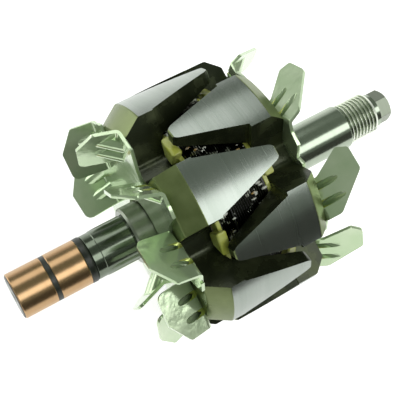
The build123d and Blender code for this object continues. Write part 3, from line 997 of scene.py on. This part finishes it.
# %% Fans from their solids
flat_area = 12.0
flat_limit = radians(1.5)
bend_height = 1.5
flat_corner = 6.0
front_bends = {"blades": 7, "first": 110.6, "distance": 30.9, "rise_angle": 50.0}
rear_bends = {"blades": 9, "first": 82.7, "distance": 21.0, "rise_angle": 72.6}


def dressed_copy(node, name, look, edge, sharp=35.0, dents=None):
    # a merged copy of a solid, with the dents pressed into it and its edges rounded by edge
    shape = bmesh.new()
    shape.from_mesh(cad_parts[node].data)
    bmesh.ops.remove_doubles(shape, verts=shape.verts, dist=2e-6)
    bmesh.ops.dissolve_limit(
        shape, angle_limit=radians(0.6), verts=shape.verts, edges=shape.edges
    )
    mesh = bpy.data.meshes.new(name)
    shape.to_mesh(mesh)
    shape.free()
    piece = piece_from(name, mesh, look, sharp)
    if dents:
        dents.materials.append(plated_hollow)
        carve(piece, dents, "DIFFERENCE", "TRANSFER")
        piece.data.materials.append(sheared_edge_shade)
    if edge:
        # the round's faces take the dark edge finish, painted shade
        bevel(piece, edge, angle=50.0, sharp=sharp, look_number=2 if dents else -1)
    # the large faces are flat sheet, so they and all their parts keep one direction each
    shape = bmesh.new()
    shape.from_mesh(piece.data)
    flat = [face for face in shape.faces if face.calc_area() > flat_area * MM * MM]
    while flat:
        face = flat.pop()
        face.smooth = False
        for e in face.edges:
            for other in e.link_faces:
                if other.smooth and other.normal.angle(face.normal, 0) < flat_limit:
                    flat.append(other)
    shape.to_mesh(piece.data)
    shape.free()
    report(piece)
    return piece


def gusset_dents(name, face, toward, places, blades, first, distance, rise_angle):
    # round-ended pockets pressed over the bend from the pole's side, joined as one cutter
    pocket, depth, low, high = 1.5, 0.75, -0.5, 4.4
    rise = Vector((toward * sin(radians(rise_angle)), cos(radians(rise_angle))))
    away = Vector((-toward * cos(radians(rise_angle)), sin(radians(rise_angle))))
    ends = [(low - pocket, 0)]
    ends += [(low - pocket * cos(a), pocket * sin(a)) for a in (0.5, 1.0)]
    ends += [(low, pocket), (high, pocket)]
    ends += [(high + pocket * cos(a), pocket * sin(a)) for a in (1.0, 0.5)]
    ends += [(high + pocket, 0)]
    pockets = []
    for k in range(blades):
        a = radians(first + 360 / blades * k)
        for place in places:
            one = turned_mesh(name, ends, 20, closed=False)
            for v in one.vertices:
                along, side = v.co.x / MM, v.co.z / MM + place
                lift = pocket - depth + v.co.y / MM
                ahead = face + rise.x * along + away.x * lift
                out = distance + rise.y * along + away.y * lift
                v.co = at_angle(a, ahead, out, side)
            pockets.append(one)
    return join_meshes(name, pockets)


def bend_further(piece, face, low, high, extra, most, blades, first, distance, rise_angle):
    # turns each blade by extra more degrees about its bend, and one, by its number, most;
    # low and high are the blade's two ends, measured along the bend. The disc's own corner
    # at the low end reaches past the bend line, and stays flat.
    for v in piece.data.vertices:
        around = degrees(atan2(v.co.z, v.co.y)) - first
        k = round(around / (360 / blades))
        for blade in (k, k - 1):
            a = radians(first + blade * 360 / blades)
            out = (v.co.y * cos(a) + v.co.z * sin(a)) / MM
            side = (-v.co.y * sin(a) + v.co.z * cos(a)) / MM
            ahead = v.co.x / MM - face
            height = ahead * sin(radians(rise_angle)) + (out - distance) * cos(radians(rise_angle))
            bends = ahead > sheet + 0.05 or side > low + flat_corner
            if height > 0 and low < side < high and bends:
                more = most[1] if blade % blades == most[0] else extra
                turn = radians(more) * min(1.0, height / bend_height)
                new_ahead = ahead * cos(turn) + (out - distance) * sin(turn)
                new_out = distance + (out - distance) * cos(turn) - ahead * sin(turn)
                v.co = at_angle(a, face + new_ahead, new_out, side)
                break


front_dents = gusset_dents("front_dents", front_face_x, 1, (15.6, 21.6), **front_bends)
rear_dents = gusset_dents("rear_dents", rear_face_x, -1, (23.6, 30.4), **rear_bends)
front_fan = dressed_copy(
    "front_fan", "pressed_front_fan", plated_sheet, 0.14, dents=front_dents
)
bend_further(
    front_fan, front_face_x, low=6.0, high=27.4, extra=8.0, most=(5, 20.0), **front_bends
)
rear_fan = dressed_copy("rear_fan", "pressed_rear_fan", plated_sheet, 0.14, dents=rear_dents)

# %% [markdown]
# ## The coil
# The coil is one long enamelled wire. The same wound-ridge tree makes its outer layer, with a
# round section and a pitch of one wire, round a plain dark core that closes the gaps between
# the turns. A few turns of lacing tie its middle. The whole is dipped in varnish, which dries
# in flat drops, coloured near white as painted glints: another tree sows points on a band
# round the coil, with a fixed seed, and puts a small flattened ball on each.


# %% Coil, lacing and drops
former_rear_x = rear_inner_x + 0.5
former_front_x = front_inner_x - 0.5
coil_rear_x = former_rear_x + 1.5
coil_front_x = former_front_x - 1.5
wire = 0.85
coil_turns = (coil_front_x - coil_rear_x) / wire - 1.2
coil_radius = 33.2
lacing_radius = 33.68
lacing_length = 9.0


def wire_layer(name, turns, start, radius):
    # touching turns of wire; the radius is the layer's outside
    return grow(
        name, ridge,
        {"Turns": turns, "Pitch": wire * MM, "Start": start * MM,
         "Radius": (radius - wire / 2) * MM, "Section radius": wire / 2 * MM,
         "Section corners": 8, "Steps per turn": 96},
        varnish_and_glints, 60.0,
    )


def plain_ring(name, low, high, inner, outer, look, steps=96):
    profile = [(low, inner), (low, outer), (high, outer), (high, inner)]
    return lathe(name, profile, look, steps)


winding = wire_layer("winding", coil_turns, coil_rear_x + 0.6 * wire, coil_radius)
coil_core = plain_ring(
    "coil_core", coil_rear_x, coil_front_x, coil_inner_radius, 32.6, coil_shade, 128
)
scatter, given, scatter_end = new_tree(
    "scattered_drops",
    (
        ("Per square metre", "NodeSocketFloat", 40000.0),
        ("Smallest", "NodeSocketFloat", 0.2 * MM),
        ("Largest", "NodeSocketFloat", 0.7 * MM),
        ("Seed", "NodeSocketInt", 7),
    ),
    drop_glint_paint,
)
sown = add_node(
    scatter, "GeometryNodeDistributePointsOnFaces",
    {"Mesh": given["Geometry"], "Density": given["Per square metre"], "Seed": given["Seed"]},
)
drop = add_node(
    scatter, "GeometryNodeMeshUVSphere", {"Radius": 1.0, "Segments": 8, "Rings": 5}
)
spread = add_node(
    scatter, "FunctionNodeRandomValue",
    {2: given["Smallest"], 3: given["Largest"], "Seed": given["Seed"]}, data_type="FLOAT",
)
flattened = add_node(
    scatter, "ShaderNodeVectorMath",
    {0: (1.0, 0.45, 0.4), "Scale": spread.outputs[1]}, operation="SCALE",
)
drops = add_node(
    scatter, "GeometryNodeInstanceOnPoints",
    {"Points": sown.outputs["Points"], "Instance": drop.outputs["Mesh"],
     "Scale": flattened.outputs["Vector"], "Rotation": sown.outputs["Rotation"]},
)
feed(scatter, scatter_end, {0: drops.outputs[0]})
sown_low_x, sown_high_x = coil_rear_x + 0.5, coil_front_x - 0.5
sown_band = turned_mesh(
    "sown_band",
    [(sown_low_x, 33.0), (sown_low_x, 33.3), (sown_high_x, 33.3), (sown_high_x, 33.0)], 96,
)
glinting_resin_drops = grow(
    "glinting_resin_drops", scatter,
    {"Per square metre": 60000.0, "Smallest": 0.2 * MM, "Largest": 1.3 * MM, "Seed": 7},
    drop_glint_paint, 60.0, sown_band,
)
middle = (coil_rear_x + coil_front_x) / 2
lacing = wire_layer("lacing", lacing_length / wire, middle - lacing_length / 2, lacing_radius)
lacing_bed = lathe(
    "lacing_bed",
    [
        (middle - 5, coil_radius), (middle - 4.8, 33.35),
        (middle + 4.8, 33.35), (middle + 5, coil_radius),
    ],
    coil_shade, 160,
)
report(winding, lacing, glinting_resin_drops)

# %% [markdown]
# ## Core and papers
# Nothing of the core and of the two paper discs shows, but they are there in the real rotor.
# Each is a plain ring.

# %% Core and papers
paper_radius = 28.0
rear_paper = plain_ring(
    "rear_paper", rear_inner_x, former_rear_x, core_radius, paper_radius, pressed_paper
)
front_paper = plain_ring(
    "front_paper", former_front_x, front_inner_x, core_radius, paper_radius, pressed_paper
)
core = plain_ring(
    "core", rear_inner_x, front_inner_x, core_seat_radius, core_radius, forged_claw
)
report(rear_paper, front_paper, core)

# %% [markdown]
# ## The former
# The coil is wound on a turned bobbin whose flanges grow into wedge-shaped lobes between the
# claws. One lobe is a prism, turned round the shaft by the arms' tree and well rounded, as
# moulded nylon is.

# %% Former with its lobes
low_half = 2.5
high_half = 4.4
lobe_foot, lobe_top, lobe_reach = 29.0, 36.2, 2.2
lobe_outline = [
    (lobe_foot, -low_half), (lobe_top, -high_half), (lobe_top, high_half), (lobe_foot, low_half)
]


def lobe_ring(name, low, high, turn):
    lobe = block_mesh(
        name, lobe_outline, low, high, lambda u, v, w: (w * MM, u * MM, v * MM)
    )
    ring = grow(
        name, turn_round, {"Copies": 6, "First angle": radians(turn + 30)}, former_nylon, start=lobe
    )
    soften(ring, 0.9, steps=4)
    report(ring)
    return ring


rear_lobes = lobe_ring(
    "rear_lobes", former_rear_x - lobe_reach, coil_rear_x, rear_claw_angle
)
front_lobes = lobe_ring(
    "front_lobes", coil_front_x, former_front_x + lobe_reach, front_claw_angle
)
former = lathe(
    "former",
    [
        (former_rear_x, core_radius), (former_rear_x, 32.8),
        (former_rear_x + 0.2, former_radius), (coil_rear_x - 0.2, former_radius),
        (coil_rear_x, 32.8), (coil_rear_x, coil_inner_radius),
        (coil_front_x, coil_inner_radius), (coil_front_x, 32.8),
        (coil_front_x + 0.2, former_radius), (former_front_x - 0.2, former_radius),
        (former_front_x, 32.8), (former_front_x, core_radius),
    ],
    former_nylon, 160,
)
report(former)

# %% [markdown]
# ## Slip rings
# Two copper rings carry the current to the coil. Their moulding shows as a thin edge at the
# end, a band between the rings and a rounded collar. In the photograph the copper runs almost
# to the end of the shaft, so the outer ring covers most of the rim that the solid has. Both
# rings are turned with a small break at each edge. The leads pass under them in a slot of the
# moulding, in line with the shaft's groove.


# %% Slip rings and moulding
rim_end_x = end_x + 0.3
moulding = lathe(
    "moulding",
    [
        (end_x, stub_radius), (end_x, 7.7), (end_x + 0.12, 7.95), (rim_end_x, 7.95),
        (rim_end_x, ring_inner_radius), (outer_ring_x, ring_inner_radius),
        (outer_ring_x, 8.3), (band_x, 8.3), (band_x, ring_inner_radius),
        (inner_ring_x, ring_inner_radius), (inner_ring_x, 8.35), (inner_ring_x + 0.1, 8.45),
        (stub_x - 0.8, 8.45), (stub_x - 0.35, 8.33), (stub_x - 0.1, 8.05), (stub_x, 7.65),
        (stub_x, stub_radius),
    ],
    None,
)
mill_slot(moulding, rim_x + 4.5, stub_x + 1, floor=4.0, top=7.15)
moulding.data.materials.append(black_moulding)


def slip_ring(name, low, high):
    profile = [
        (low, ring_inner_radius), (low, 8.15), (low + 0.1, 8.32), (low + 0.3, 8.4),
        (high - 0.3, 8.4), (high - 0.1, 8.32), (high, 8.15), (high, ring_inner_radius),
    ]
    return lathe(name, profile, slip_copper)


outer_ring = slip_ring("outer_ring", rim_end_x, outer_ring_x)
inner_ring = slip_ring("inner_ring", band_x, inner_ring_x)
spacer = lathe(
    "spacer",
    [
        (front_fan_x, journal_radius), (front_fan_x, 10.3),
        (front_fan_x + 0.4, shoulder_radius), (-0.4, shoulder_radius),
        (0, 10.3), (0, journal_radius),
    ],
    satin_steel,
)
report(moulding, outer_ring, inner_ring, spacer)

# %% [markdown]
# ## Small pieces from their solids
# The leads, their sleeves and the groove's cover are small and lie out of sight, so copies of
# their solids with a proper finish are enough.

# %% Leads, sleeves and cover
outer_lead = dressed_copy("lead_outer", "outer_lead", lead_copper, 0.0)
inner_lead = dressed_copy("lead_inner", "inner_lead", lead_copper, 0.0)
outer_sleeve = dressed_copy("sleeve_outer", "outer_sleeve", red_sleeve, 0.0)
inner_sleeve = dressed_copy("sleeve_inner", "inner_sleeve", red_sleeve, 0.0)
cover_strip = dressed_copy("lead_cover", "cover_strip", black_moulding, 0.1)

# %% [markdown]
# ## Handing over
# The rotor turns as one, so every piece rides on the one rigid body, and the table below pairs
# it with the solid it stands for, which is hidden. A solid may have more than one piece: the
# shaft is its bar, its thread and its hexagon.

# %% Ride and replace
stands_for = (
    ("shaft", shaft_body, thread, hexagon),
    ("rear_claw_pole", rear_pole),
    ("front_claw_pole", front_pole),
    ("pole_core", core),
    ("front_fan", front_fan),
    ("rear_fan", rear_fan),
    ("field_winding", winding, coil_core, glinting_resin_drops),
    ("coil_tape", lacing, lacing_bed),
    ("rear_insulator", rear_paper),
    ("front_insulator", front_paper),
    ("bobbin", former, rear_lobes, front_lobes),
    ("slip_ring_moulding", moulding),
    ("outer_slip_ring", outer_ring),
    ("inner_slip_ring", inner_ring),
    ("spacer_ring", spacer),
    ("lead_outer", outer_lead),
    ("lead_inner", inner_lead),
    ("sleeve_outer", outer_sleeve),
    ("sleeve_inner", inner_sleeve),
    ("lead_cover", cover_strip),
)
for node, *made in stands_for:
    for piece in made:
        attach(piece, "root")
        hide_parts(node)
print("pieces", sum(len(made) for _, *made in stands_for))
